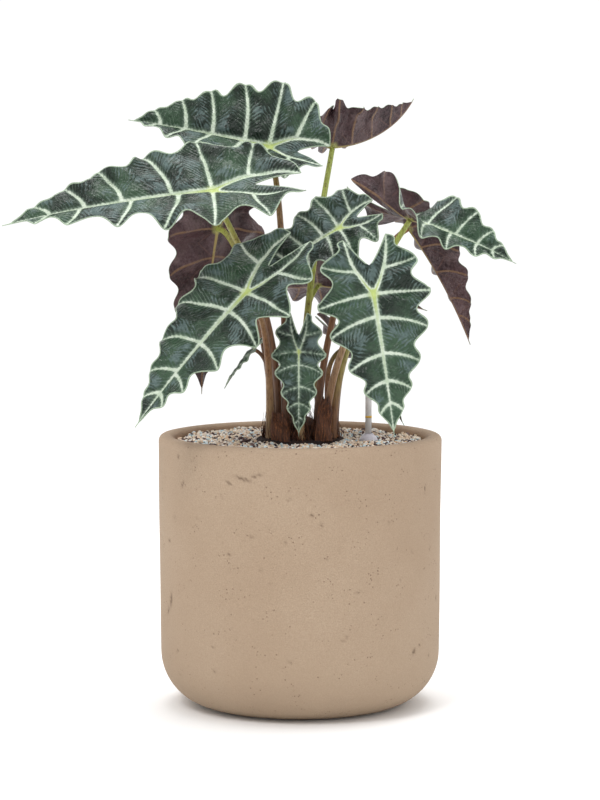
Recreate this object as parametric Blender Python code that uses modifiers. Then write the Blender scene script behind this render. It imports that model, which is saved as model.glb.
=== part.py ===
"""Potted alocasia: a rosette of arrow-shaped leaves on a rhizome, in a cast planter filled with
mineral granulate, with a water level gauge. Metres, +Z up, origin at the centre of the planter's foot.

Headings are degrees from +X towards +Y; a pitch is the rise above the horizon, in degrees."""

import math

import bmesh
import bpy
import numpy as np
from mathutils import Vector

MM = 0.001
GAP = 0.3 * MM  # between pieces that rest on each other

# Planter
POT_RADIUS = 120 * MM
POT_HEIGHT = 230 * MM
POT_WALL = 14 * MM
POT_FLOOR = 16 * MM
POT_TAPER = 1.5 * MM  # how much narrower the wall is above the rounded foot
POT_FOOT_ROUND = 46 * MM
POT_RIM_ROUND = 3 * MM
POT_SEGMENTS = 48

# Fill
GRANULATE_TOP = 222 * MM
ROOT_BALL_RADIUS = 37 * MM
ROOT_BALL_FOOT_RADIUS = 30 * MM
ROOT_BALL_TOP = 227 * MM
ROOT_BALL_BOTTOM = 110 * MM
ROOT_BALL_SEGMENTS = 32
CROWN = Vector((1 * MM, 0, 0))  # the plant's own axis on the floor plan

# Rhizome
RHIZOME_RADIUS = 13 * MM
RHIZOME_TOP = 246 * MM
RHIZOME_BOTTOM = 190 * MM
RHIZOME_SEGMENTS = 24
RHIZOME_DOME = 0.7  # height of its round top, as a share of its radius
RHIZOME_RINGS = 5  # swellings between the scars of fallen leaves
RHIZOME_RING_DEPTH = 0.8 * MM

# Husks, the dry scale leaves around the crown: name, bearing, width, height
HUSK_RADIUS = 34.5 * MM
HUSK_THICKNESS = 0.9 * MM
HUSK_FLARE = 5 * MM  # how far its tip stands out
HUSK_ROWS = 8
HUSK_COLUMNS = 6
HUSKS = (
    dict(name="husk_front_right", bearing=-56, width=17, height=36),
    dict(name="husk_front_left", bearing=-122, width=19, height=24),
    dict(name="husk_back", bearing=100, width=24, height=30),
)

# Water level gauge
GAUGE = Vector((58 * MM, -4 * MM, 0))
GAUGE_SHAFT_RADIUS = 7 * MM
GAUGE_SHAFT_BORE = 4.5 * MM
GAUGE_SHAFT_BOTTOM = 24 * MM
GAUGE_SHAFT_FLOOR = 2 * MM
GAUGE_FLANGE_RADIUS = 8.4 * MM
GAUGE_FLANGE_HEIGHT = 2.4 * MM
GAUGE_COLLAR_RADIUS = 8 * MM
GAUGE_COLLAR_HEIGHT = 6 * MM
GAUGE_TUBE_RADIUS = 2.7 * MM
GAUGE_TUBE_WALL = 0.6 * MM
GAUGE_TUBE_TOP = 268 * MM
GAUGE_FLOAT_RADIUS = 3.8 * MM
GAUGE_FLOAT_HEIGHT = 40 * MM
GAUGE_COLLAR_STEP = 1.5 * MM  # the collar's floor, which the tube stands on
GAUGE_COLLAR_LIP = 1.2 * MM  # of the collar around the tube
GAUGE_ROD_RADIUS = 1.2 * MM
GAUGE_ROD_TOP = 233 * MM
GAUGE_SEGMENTS = 16

# Leaf blade, as shares of its midrib's length
SINUS = 0.20  # how far behind the petiole the two back lobes are still one
TAIL_HALF_WIDTH = 0.012
LOBE_STATIONS = (-0.44, -0.25, 0.03, 0.27, 0.49, 0.68, 0.84, 1.0)  # where a side vein meets the edge
EDGE_WAVE = 0.06  # height of the edge's waves, as a share of the half width
LOBE_DROOP = 0.3  # droop of the back lobes against the midrib's, on most leaves
LEAN = 20  # between the petiole's end and the blade's normal, towards the tip
PARTING = 0.22  # of a back lobe's tip from the midrib's line, as a share of the half width
SCALLOP_DEPTH = 0.15
BLADE_THICKNESS = 0.8 * MM
BLADE_ROWS = 18
BLADE_COLUMNS = 3  # in each half

PETIOLE_TOP_RADIUS = 2.3 * MM
PETIOLE_FOOT_RADIUS = 4.4 * MM
PETIOLE_POINTS = 10
INNER_RING = 18.5
OUTER_RING = 28

# Lengths are in mm and angles in degrees. Of the petiole: foot (bearing, distance from the crown), top
# (x, y, z), rise (how long the foot stays upright, as a share of the petiole's span), reach (how far back
# from the blade it bends) and, on small leaves, slim (its thickness against the others'). Of the blade:
# heading, pitch, roll, midrib, back lobes, half width, droop of the midrib, cup and fold of each half and,
# on some leaves, the droop of the back lobes, the twist towards the tip and the parting of the lobes.
LEAVES = (
    dict(name="long_left", foot=(180, INNER_RING), top=(-72, -60, 437), rise=0.5, reach=80,
         heading=188, pitch=-5, roll=-35, midrib=175, lobes=76, width=57, droop=10, cup=6, fold=14),
    dict(name="top_left", foot=(225, INNER_RING), top=(-27, 45, 472), rise=0.5, reach=40,
         heading=171, pitch=13, roll=-45, midrib=126, lobes=51, width=61, droop=6, cup=6, fold=30),
    dict(name="top_right", foot=(90, INNER_RING), top=(28, 95, 471), rise=0.4, reach=70,
         heading=15, pitch=4, roll=-30, midrib=98, lobes=40, width=48, droop=-55, cup=4, fold=30,
         lobe_droop=-230),
    dict(name="right", foot=(-20, OUTER_RING), top=(92, -16, 412), rise=0.4, reach=40,
         heading=-24, pitch=-13, roll=-10, midrib=102, lobes=66, width=40, droop=14, cup=4, fold=24,
         lobe_droop=-45, twist=60, parting=0.12),
    dict(name="right_drooping", foot=(5, OUTER_RING), top=(93, 58, 402), rise=0.4, reach=40,
         heading=35, pitch=-48, roll=0, midrib=125, lobes=42, width=40, droop=16, cup=10, fold=32),
    dict(name="centre", foot=(-45, INNER_RING), top=(33, -15, 405), rise=0.5, reach=40,
         heading=190, pitch=-28, roll=-46, midrib=84, lobes=37, width=39, droop=20, cup=6, fold=12),
    dict(name="left_front", foot=(200, OUTER_RING), top=(-44, -76, 354), rise=0.4, reach=40,
         heading=214, pitch=-40, roll=-24, midrib=148, lobes=70, width=50, droop=12, cup=8, fold=8),
    dict(name="right_front", foot=(-45, OUTER_RING), top=(60, -88, 354), rise=0.4, reach=40,
         heading=-55, pitch=-74, roll=30, midrib=118, lobes=48, width=46, droop=18, cup=14, fold=6,
         parting=0.38),
    dict(name="small_front", foot=(-90, OUTER_RING), top=(-1, -80, 306), rise=0.4, reach=30, slim=0.85,
         heading=-90, pitch=-75, roll=0, midrib=71, lobes=33, width=22, droop=34, cup=14, fold=6,
         parting=0.3),
    dict(name="back_left", foot=(148, OUTER_RING), top=(-71, 60, 402), rise=0.4, reach=40,
         heading=120, pitch=-70, roll=0, midrib=150, lobes=50, width=46, droop=16, cup=10, fold=9),
    dict(name="small_left", foot=(175, OUTER_RING), top=(-39, 4, 302), rise=0.4, reach=20, slim=0.7,
         heading=190, pitch=-45, roll=0, midrib=42, lobes=16, width=12, droop=14, cup=10, fold=8),
    dict(name="back", foot=(30, INNER_RING), top=(16, 95, 351), rise=0.4, reach=40, slim=0.8,
         heading=-14, pitch=-6, roll=-40, midrib=102, lobes=44, width=34, droop=14, cup=6, fold=8),
    dict(name="low_right", foot=(32, OUTER_RING), top=(40, 54, 300), rise=0.4, reach=25, slim=0.8,
         heading=-8, pitch=-46, roll=-20, midrib=85, lobes=38, width=30, droop=14, cup=6, fold=8),
)


def leaf_frame(leaf):
    """The tip's direction, the left side's direction and the upper face's normal at the petiole's top."""
    heading, pitch, roll = (math.radians(leaf[key]) for key in ("heading", "pitch", "roll"))
    level_reach = math.cos(pitch)
    tip = np.array((level_reach * math.cos(heading), level_reach * math.sin(heading), math.sin(pitch)))
    level = np.array((-math.sin(heading), math.cos(heading), 0.0))
    upright = np.cross(tip, level)
    left = math.cos(roll) * level + math.sin(roll) * upright
    return tip, left, np.cross(tip, left)


def petiole_path(leaf):
    """Points up a petiole, in metres: a Bezier curve that leaves its foot upright and meets the blade's
    underside leaning towards the tip by LEAN. Its flat end clears the underside by GAP."""
    tip, _, normal = leaf_frame(leaf)
    bearing, distance = leaf["foot"]
    bearing = math.radians(bearing)
    lean = math.radians(LEAN)
    arrival = math.cos(lean) * normal + math.sin(lean) * tip
    foot = np.array((CROWN.x + distance * MM * math.cos(bearing),
                     CROWN.y + distance * MM * math.sin(bearing), ROOT_BALL_TOP + 2 * GAP))
    under = BLADE_THICKNESS / 2 + GAP + PETIOLE_TOP_RADIUS * math.sin(lean)
    end = np.array(leaf["top"]) * MM - normal * under
    upright = np.array((0, 0, leaf["rise"] * np.linalg.norm(end - foot)))
    share = np.linspace(0, 1, PETIOLE_POINTS)[:, None]
    return ((1 - share) ** 3 * foot + 3 * (1 - share) ** 2 * share * (foot + upright)
            + 3 * (1 - share) * share**2 * (end - arrival * leaf["reach"] * MM) + share**3 * end)


def station_phase(share):
    """For each place on the midrib, how far it is from one side vein's end (0) to the next one's (1)."""
    stations = np.array(LOBE_STATIONS)
    after = np.clip(np.searchsorted(stations, share, side="right"), 1, len(stations) - 1)
    start, end = stations[after - 1], stations[after]
    return np.clip((share - start) / (end - start), 0, 1)


def outer_edge(share, back, parting):
    """Half width, as a share of the widest, at each place along the midrib. Ahead of the petiole it is
    1 - (x / 0.96) ** 1.5 and a thin tail; behind, an oval that closes on the back lobe's tip."""
    ahead = 1 - np.clip(share / 0.96, 0, 1) ** 1.5
    behind = np.clip(-share / back, 0, 1)
    oval = parting + (1 - parting) * (1 - behind**2.2) ** 0.7
    scallop = 1 - SCALLOP_DEPTH * np.sin(np.pi * station_phase(share)) ** 2
    return np.where(share < 0, oval, ahead) * scallop


def inner_edge(share, back, parting):
    """Where the blade starts beside the midrib's line: 0, until the slit between the back lobes opens."""
    opened = np.clip((-share - SINUS) / (back - SINUS), 0, 1)
    return parting * opened**0.8


def flat_blade(leaf, rows, columns):
    """The right half of the blade laid flat, as (along, across) grids: a row is a line across the half."""
    length, back = leaf["midrib"] * MM, leaf["lobes"] / leaf["midrib"]
    turn = np.linspace(0, math.pi, rows + 1)
    share = -back + (1 + back) * (0.75 * np.linspace(0, 1, rows + 1) + 0.25 * (1 - np.cos(turn)) / 2)
    side = np.linspace(0, 1, columns + 1)[None, :]
    parting = leaf.get("parting", PARTING)
    outer = outer_edge(share, back, parting)[:, None]
    inner = inner_edge(share, back, parting)[:, None]
    tail = TAIL_HALF_WIDTH * length * np.sqrt(np.clip(1 - share, 0, 1))[:, None]
    across = leaf["width"] * MM * (inner + side * (outer - inner))
    across = across + np.where(share[:, None] > 0, tail * side, 0)
    along = np.repeat(share[:, None] * length, columns + 1, axis=1)
    return along, across


def arc(distance, bend):
    """Distance run along a circular arc that turns by bend radians per metre: (forward, sideways)."""
    angle = distance * bend
    return distance * np.sinc(angle / np.pi), distance * angle / 2 * np.sinc(angle / 2 / np.pi) ** 2


def bent_blade(leaf, along, across):
    """Points in space of flat blade points. The midrib is an arc that droops by its own angle over the
    blade's length, each half a second arc that rises by fold and turns by cup, and the edge waves once
    from each side vein to the next."""
    tip, left, normal = leaf_frame(leaf)
    length, width = leaf["midrib"] * MM, leaf["width"] * MM
    droop = np.where(along > 0, leaf["droop"], leaf.get("lobe_droop", LOBE_DROOP * leaf["droop"]))
    forward, sag = arc(along, np.radians(droop) / length)
    angle = along * np.radians(droop) / length
    out, rise = arc(np.abs(across), -math.radians(leaf["cup"]) / width)
    fold = math.radians(leaf["fold"])
    sideways = np.sign(across) * (out * math.cos(fold) - rise * math.sin(fold))
    raised = out * math.sin(fold) + rise * math.cos(fold)
    reach = np.clip(np.abs(across) / width, 0, 1)
    raised = raised - EDGE_WAVE * width * reach**2 * np.cos(2 * np.pi * station_phase(along / length))
    twist = math.radians(leaf.get("twist", 0)) * np.tanh(3 * along / length)
    sideways, raised = (sideways * np.cos(twist) - raised * np.sin(twist),
                        sideways * np.sin(twist) + raised * np.cos(twist))
    forward = forward + raised * np.sin(angle)
    height = -sag + raised * np.cos(angle)
    top = np.array(leaf["top"]) * MM
    return top + forward[..., None] * tip + sideways[..., None] * left + height[..., None] * normal


# ---- Blender objects


def collection(name):
    """A new collection in the scene."""
    made = bpy.data.collections.new(name)
    bpy.context.scene.collection.children.link(made)
    return made


def material(name, colour, roughness, metallic=0.0):
    """A Principled BSDF with one colour (linear RGB)."""
    made = bpy.data.materials.new(name)
    made.use_nodes = True
    shader = made.node_tree.nodes["Principled BSDF"]
    shader.inputs["Base Color"].default_value = (*colour, 1)
    shader.inputs["Roughness"].default_value = roughness
    shader.inputs["Metallic"].default_value = metallic
    made.diffuse_color = (*colour, 1)
    return made


def finish(bm, name, look, group):
    """The bmesh as a named, smooth-shaded object in a collection."""
    mesh = bpy.data.meshes.new(name)
    bm.to_mesh(mesh)
    bm.free()
    mesh.materials.append(look)
    mesh.shade_smooth()
    mesh.set_sharp_from_angle(angle=math.radians(35))
    made = bpy.data.objects.new(name, mesh)
    group.objects.link(made)
    return made


def quarter(centre, radius, start, end, steps=5):
    """Points of an arc in the profile plane, from one angle to another in degrees."""
    angles = [math.radians(start + (end - start) * step / steps) for step in range(steps + 1)]
    return [(centre[0] + radius * math.cos(angle), centre[1] + radius * math.sin(angle)) for angle in angles]


def turned(name, profile, look, group, segments, place=(0, 0, 0)):
    """A profile of (radius, height) points, down its outer side, turned round the vertical at place."""
    bm = bmesh.new()
    points = [bm.verts.new((radius, 0, height)) for radius, height in profile]
    for first, second in zip(points, points[1:]):
        bm.edges.new((first, second))
    if profile[0][0] > 0:
        bm.edges.new((points[-1], points[0]))
    made = finish(bm, name, look, group)
    made.location = place
    screw = made.modifiers.new("turn", "SCREW")
    screw.steps = segments
    screw.render_steps = segments
    screw.use_merge_vertices = True
    screw.merge_threshold = 0.00001
    screw.use_smooth_shade = True
    return made


def cut(target, name, profile, group, segments, place=(0, 0, 0)):
    """Takes a turned cutter out of an object."""
    cutter = turned(name, profile, None, group, segments, place)
    cutter.hide_render = True
    cutter.display_type = "WIRE"
    boolean = target.modifiers.new(name, "BOOLEAN")
    boolean.operation = "DIFFERENCE"
    boolean.object = cutter


def pot_inside(clearance):
    """The planter's inner wall from the rim's height down to its floor's centre, drawn in by a clearance."""
    radius = POT_RADIUS - POT_WALL - clearance
    bend = POT_FOOT_ROUND - POT_WALL - clearance
    floor = POT_FLOOR + clearance
    low = radius - POT_TAPER
    return [(radius, POT_HEIGHT), *quarter((low - bend, floor + bend), bend, 0, -90, 6), (0, floor)]


def add_planter(group):
    """The cast planter: a straight wall that tapers a little, a large round at the foot and a soft rim."""
    low = POT_RADIUS - POT_TAPER
    inner = POT_RADIUS - POT_WALL
    up = pot_inside(0)[::-1]
    profile = [
        *up[:-1],
        *quarter((inner + POT_RIM_ROUND, POT_HEIGHT - POT_RIM_ROUND), POT_RIM_ROUND, 180, 90, 3),
        *quarter((POT_RADIUS - POT_RIM_ROUND, POT_HEIGHT - POT_RIM_ROUND), POT_RIM_ROUND, 90, 0, 3),
        *quarter((low - POT_FOOT_ROUND, POT_FOOT_ROUND), POT_FOOT_ROUND, 0, -90, 7),
        (0, 0),
    ]
    turned("planter", profile, material("cast_stone", (0.489, 0.37, 0.262), 0.85), group, POT_SEGMENTS)


def root_ball_profile(clearance):
    """The root ball's outline, top to bottom, let out by a clearance."""
    return [
        (0, ROOT_BALL_TOP + clearance),
        (ROOT_BALL_RADIUS + clearance, ROOT_BALL_TOP + clearance),
        (ROOT_BALL_FOOT_RADIUS + clearance, ROOT_BALL_BOTTOM - clearance),
        (0, ROOT_BALL_BOTTOM - clearance),
    ]


def add_fill(group, cutters):
    """The granulate, which fills the planter round the root ball and the gauge, and the root ball."""
    inside = pot_inside(GAP)
    profile = [(0, GRANULATE_TOP), (inside[0][0], GRANULATE_TOP), *inside[1:]]
    granulate = turned("granulate", profile, material("mineral_grains", (0.55, 0.5, 0.42), 0.9), group,
                       POT_SEGMENTS)
    cut(granulate, "root_ball_pocket", root_ball_profile(GAP), cutters, ROOT_BALL_SEGMENTS)
    bore = GAUGE_SHAFT_RADIUS + GAP
    shaft_hole = [(0, POT_HEIGHT), (bore, POT_HEIGHT), (bore, GAUGE_SHAFT_BOTTOM - GAP),
                  (0, GAUGE_SHAFT_BOTTOM - GAP)]
    cut(granulate, "gauge_hole", shaft_hole, cutters, GAUGE_SEGMENTS, GAUGE)
    peat = turned("root_ball", root_ball_profile(0), material("peat", (0.018, 0.008, 0.007), 0.95), group,
                  ROOT_BALL_SEGMENTS)
    socket = RHIZOME_RADIUS + GAP
    depth = RHIZOME_BOTTOM - GAP
    pocket = [(0, POT_HEIGHT), (socket, POT_HEIGHT), (socket, depth), (0, depth)]
    cut(peat, "rhizome_pocket", pocket, cutters, RHIZOME_SEGMENTS, CROWN)


def add_rhizome(group):
    """The thick stem that the leaves grow from: a rod with a round top, narrowed by the leaf scars."""
    shoulder = RHIZOME_TOP - RHIZOME_DOME * RHIZOME_RADIUS
    length = shoulder - RHIZOME_BOTTOM
    steps = RHIZOME_RINGS * 4
    side = []
    for step in range(1, steps + 1):
        swell = abs(math.sin(math.pi * RHIZOME_RINGS * step / steps))
        side.append((RHIZOME_RADIUS - RHIZOME_RING_DEPTH * (1 - swell), shoulder - length * step / steps))
    dome = [(RHIZOME_RADIUS * math.sin(angle), shoulder + RHIZOME_DOME * RHIZOME_RADIUS * math.cos(angle))
            for angle in (math.radians(18 * step) for step in range(5))]
    bark = material("rhizome_bark", (0.085, 0.036, 0.019), 0.8)
    turned("rhizome", [*dome, *side, (0, RHIZOME_BOTTOM)], bark, group, RHIZOME_SEGMENTS, CROWN)


def add_husk(husk, look, group):
    """A dry scale: a strip of a cylinder round the crown that narrows to a blunt point and flares out."""
    bm = bmesh.new()
    bmesh.ops.create_grid(bm, x_segments=HUSK_COLUMNS, y_segments=HUSK_ROWS, size=1)
    for vert in bm.verts:
        height = (vert.co.y + 1) / 2
        half_width = husk["width"] * MM / 2 * math.sqrt(1 - 0.85 * height**2.5)
        bearing = math.radians(husk["bearing"]) + vert.co.x * half_width / HUSK_RADIUS
        radius = HUSK_RADIUS + HUSK_FLARE * height**2
        level = ROOT_BALL_TOP + GAP + husk["height"] * MM * height
        vert.co = CROWN + Vector((radius * math.cos(bearing), radius * math.sin(bearing), level))
    made = finish(bm, husk["name"], look, group)
    wall = made.modifiers.new("wall", "SOLIDIFY")
    wall.thickness = HUSK_THICKNESS
    wall.offset = 0


def add_gauge(group):
    """The water level gauge: a dark shaft down to the planter's floor with a flange on the granulate,
    a clear collar, a clear tube closed at its top, and a float whose rod shows in the tube."""
    flange_foot = GRANULATE_TOP + GAP
    flange_top = flange_foot + GAUGE_FLANGE_HEIGHT
    shaft = [
        (GAUGE_SHAFT_BORE, flange_top), (GAUGE_FLANGE_RADIUS, flange_top), (GAUGE_FLANGE_RADIUS, flange_foot),
        (GAUGE_SHAFT_RADIUS, flange_foot), (GAUGE_SHAFT_RADIUS, GAUGE_SHAFT_BOTTOM), (0, GAUGE_SHAFT_BOTTOM),
    ]
    floor = GAUGE_SHAFT_BOTTOM + GAUGE_SHAFT_FLOOR
    turned("gauge_shaft", [(0, floor), (GAUGE_SHAFT_BORE, floor), *shaft],
           material("dark_plastic", (0.02, 0.02, 0.022), 0.5), group, GAUGE_SEGMENTS, GAUGE)
    clear = material("clear_plastic", (0.63, 0.62, 0.66), 0.15)
    foot = flange_top + GAP
    top = foot + GAUGE_COLLAR_HEIGHT
    seat = GAUGE_TUBE_RADIUS + GAP
    bore = GAUGE_TUBE_RADIUS - GAUGE_TUBE_WALL
    step = foot + GAUGE_COLLAR_STEP
    lip = seat + GAUGE_COLLAR_LIP
    shoulder = GAUGE_COLLAR_RADIUS - lip
    collar = [
        (bore, step), (seat, step), (seat, top), (lip, top), *quarter((lip, step), shoulder * 0.9, 75, 0, 5),
        (GAUGE_COLLAR_RADIUS, foot), (bore, foot),
    ]
    turned("gauge_collar", collar, clear, group, GAUGE_SEGMENTS, GAUGE)
    tube_foot = step + GAP
    crown = GAUGE_TUBE_TOP - GAUGE_TUBE_RADIUS
    tube = [
        (0, GAUGE_TUBE_TOP - GAUGE_TUBE_WALL), *quarter((0, crown), bore, 60, 0, 2), (bore, tube_foot),
        (GAUGE_TUBE_RADIUS, tube_foot), *quarter((0, crown), GAUGE_TUBE_RADIUS, 0, 60, 2), (0, GAUGE_TUBE_TOP),
    ]
    turned("gauge_tube", tube[::-1], clear, group, GAUGE_SEGMENTS, GAUGE)
    rest = floor + GAP
    float_profile = [
        (0, GAUGE_ROD_TOP), (GAUGE_ROD_RADIUS, GAUGE_ROD_TOP), (GAUGE_ROD_RADIUS, rest + GAUGE_FLOAT_HEIGHT),
        (GAUGE_FLOAT_RADIUS, rest + GAUGE_FLOAT_HEIGHT), (GAUGE_FLOAT_RADIUS, rest), (0, rest),
    ]
    turned("gauge_float", float_profile, material("red_plastic", (0.45, 0.01, 0.008), 0.4), group, 12, GAUGE)


def add_petiole(leaf, look, group):
    """A round leaf stalk that tapers from its foot to the blade."""
    points = petiole_path(leaf)
    curve = bpy.data.curves.new("petiole_" + leaf["name"], "CURVE")
    curve.dimensions = "3D"
    curve.bevel_depth = 1
    curve.bevel_resolution = 2
    curve.use_fill_caps = True
    spline = curve.splines.new("POLY")
    spline.points.add(len(points) - 1)
    taper = PETIOLE_TOP_RADIUS - PETIOLE_FOOT_RADIUS
    for step, (point, end) in enumerate(zip(spline.points, points)):
        share = step / (len(points) - 1)
        point.co = (*end, 1)
        point.radius = leaf.get("slim", 1) * (PETIOLE_FOOT_RADIUS + taper * share**0.6)
    curve.materials.append(look)
    group.objects.link(bpy.data.objects.new(curve.name, curve))


def add_blade(leaf, look, group):
    """The blade: a grid for each half, moved by the leaf's formula, joined down the midrib and thickened."""
    along, across = flat_blade(leaf, BLADE_ROWS, BLADE_COLUMNS)
    bm = bmesh.new()
    for side in (-1, 1):
        points = bent_blade(leaf, along, side * across)
        half = bmesh.ops.create_grid(bm, x_segments=BLADE_ROWS, y_segments=BLADE_COLUMNS, size=1)["verts"]
        for vert in half:
            row = round((vert.co.x + 1) / 2 * BLADE_ROWS)
            column = round((vert.co.y + 1) / 2 * BLADE_COLUMNS)
            vert.co = points[row, column]
    bmesh.ops.remove_doubles(bm, verts=bm.verts, dist=0.0001)
    bmesh.ops.recalc_face_normals(bm, faces=bm.faces)
    made = finish(bm, "leaf_" + leaf["name"], look, group)
    wall = made.modifiers.new("thickness", "SOLIDIFY")
    wall.thickness = BLADE_THICKNESS
    wall.offset = 0


def main():
    for left_over in list(bpy.data.objects):
        bpy.data.objects.remove(left_over, do_unlink=True)
    parts = collection("potted_alocasia")
    cutters = collection("cutters")
    add_planter(parts)
    add_fill(parts, cutters)
    add_rhizome(parts)
    dry = material("dry_husk", (0.079, 0.025, 0.01), 0.8)
    for husk in HUSKS:
        add_husk(husk, dry, parts)
    add_gauge(parts)
    stalk = material("petiole_skin", (0.2, 0.15, 0.05), 0.5)
    blade = material("leaf_blade", (0.05, 0.09, 0.05), 0.4)
    for leaf in LEAVES:
        add_petiole(leaf, stalk, parts)
        add_blade(leaf, blade, parts)


if __name__ == "__main__":
    main()
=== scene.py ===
"""Potted alocasia: the fine surfaces and finishes of the plant, its planter and the water level gauge,
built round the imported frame. Metres, +Z up, origin at the centre of the planter's foot."""

import math

import bpy
import numpy as np
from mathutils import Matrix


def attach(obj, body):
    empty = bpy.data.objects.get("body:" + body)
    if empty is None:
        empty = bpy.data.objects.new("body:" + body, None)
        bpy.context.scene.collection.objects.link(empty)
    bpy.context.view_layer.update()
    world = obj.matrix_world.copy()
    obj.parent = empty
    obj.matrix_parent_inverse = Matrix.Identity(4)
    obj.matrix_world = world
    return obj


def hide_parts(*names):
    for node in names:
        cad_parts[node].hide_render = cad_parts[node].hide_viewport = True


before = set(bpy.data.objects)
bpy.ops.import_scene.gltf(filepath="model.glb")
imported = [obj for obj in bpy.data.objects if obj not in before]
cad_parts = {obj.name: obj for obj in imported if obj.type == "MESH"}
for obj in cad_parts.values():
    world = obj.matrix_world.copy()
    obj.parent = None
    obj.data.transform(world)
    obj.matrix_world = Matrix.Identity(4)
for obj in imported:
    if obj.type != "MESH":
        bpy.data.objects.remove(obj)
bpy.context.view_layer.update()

MM = 0.001

# Planter
POT_RADIUS = 120 * MM
POT_HEIGHT = 230 * MM
POT_WALL = 14 * MM
POT_FLOOR = 16 * MM
POT_TAPER = 1.5 * MM  # how much narrower the wall is above the rounded foot
POT_FOOT_ROUND = 46 * MM
POT_RIM_ROUND = 4.5 * MM
POT_SEGMENTS = 384
POT_STEP = 1.7 * MM  # between points down the outer wall
INSIDE_STEP = 5 * MM  # and down the inner one
AXIS_GAP = 0.5 * MM  # between the axis and the ends of a turned outline

# Fill
GRANULATE_TOP = 222 * MM
PEAT_RADIUS = 37 * MM
PEAT_LEVEL_RADIUS = 33 * MM  # out to which the mound is level
PEAT_TOP = 227.6 * MM
PEAT_BOTTOM = 110 * MM
PEAT_SEGMENTS = 96
CRUMBS = 900
LOWER_SPACING, LOWER_REACH = 3.1 * MM, 104.4 * MM  # of the two layers of loose grains
UPPER_SPACING, UPPER_REACH = 3.6 * MM, 103.5 * MM
UPPER_START = 0.56  # of the grains, past which they lie in the upper layer
GAUGE_CLEARANCE = 8.6 * MM  # round the gauge's axis, without grains
CROWN = np.array((1 * MM, 0, 0))  # the plant's own axis on the floor plan

# Water level gauge
GAUGE = np.array((58 * MM, -4 * MM, 0))
GAUGE_TUBE_TOP = 268 * MM
GAUGE_SEGMENTS = 48

# Blade, as shares of its midrib's length unless in mm
SINUS = 0.20  # how far behind the petiole the two back lobes are still one
TAIL_HALF_WIDTH = 0.012
LOBE_STATIONS = (0.03, 0.27, 0.49, 0.68, 0.84, 1.0)  # where a side vein meets the edge
CORNER = 0.57  # place of the outer corner of a back lobe, as a share of the lobe's length
EDGE_WAVE = 0.09  # height of the edge's waves, as a share of the half width, on a leaf of full width
FULL_WIDTH = 46  # half width, in mm, of a leaf whose veins and waves have their full size
LOBE_DROOP = 0.3  # droop of the back lobes against the midrib's, on most leaves
LEAN = 20  # between the petiole's end and the blade's normal, towards the tip, in degrees
PARTING = 0.22  # of a back lobe's tip from the midrib's line, as a share of the half width
SCALLOP_DEPTH = 0.27  # how far the edge draws in between two side veins' ends
FURROW_DEPTH = 2.7  # mm, of the veins below the lamina
FURROW_REACH = 5  # mm, from a vein to the lamina's full height
SWELLS = 4
SWELL_HEIGHT = 1.4  # mm
BLADE_THICKNESS = 0.7 * MM
BLADE_CELL = 1.25 * MM  # spacing of the blade's points
FLAT_WIDTH = 260  # mm, of the square that holds the flat pattern
LEAST_WIDTH = 0.15  # mm, of a half where it ends
LAST_ROW = 0.9985  # place of the blade's last row on the midrib, just short of its end

PETIOLE_FOOT = 226 * MM
PETIOLE_END = 0.9 * MM  # under the middle of the blade
PETIOLE_TOP_RADIUS = 2.3 * MM
PETIOLE_FOOT_RADIUS = 3.7 * MM
INNER_RING = 18.5  # mm, of the petioles' feet round the crown's axis
OUTER_RING = 28
VEIN_POINTS = 13

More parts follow.
